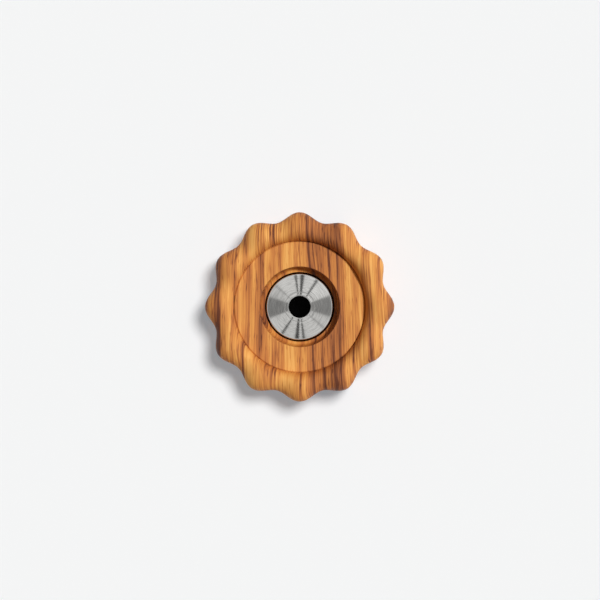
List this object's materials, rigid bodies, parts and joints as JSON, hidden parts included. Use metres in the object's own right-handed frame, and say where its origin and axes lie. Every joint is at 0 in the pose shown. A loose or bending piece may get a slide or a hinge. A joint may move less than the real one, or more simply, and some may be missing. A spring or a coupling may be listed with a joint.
{
  "type": "wooden knob",
  "caption": "Round wooden valve knob with a scalloped full-round rim, a dished mounting side and a glued-in turned steel insert that a grub screw locks to a plain spindle.",
  "frame": {"origin": "centre of the knob on its plain resting face", "axes": "+Z along the spindle bore, out of its mouth; +X through the tip of a lobe"},
  "size_m": [0.051, 0.051, 0.014],
  "materials": {
    "oiled_wood": "oiled satin, striped grain",
    "turned_steel": "fine turned",
    "black_oxide_steel": "black oxide"
  },
  "bodies": {
    "root": {"wooden_knob": "oiled_wood", "steel_insert": "turned_steel", "grub_screw": "black_oxide_steel"}
  },
  "joints": []
}
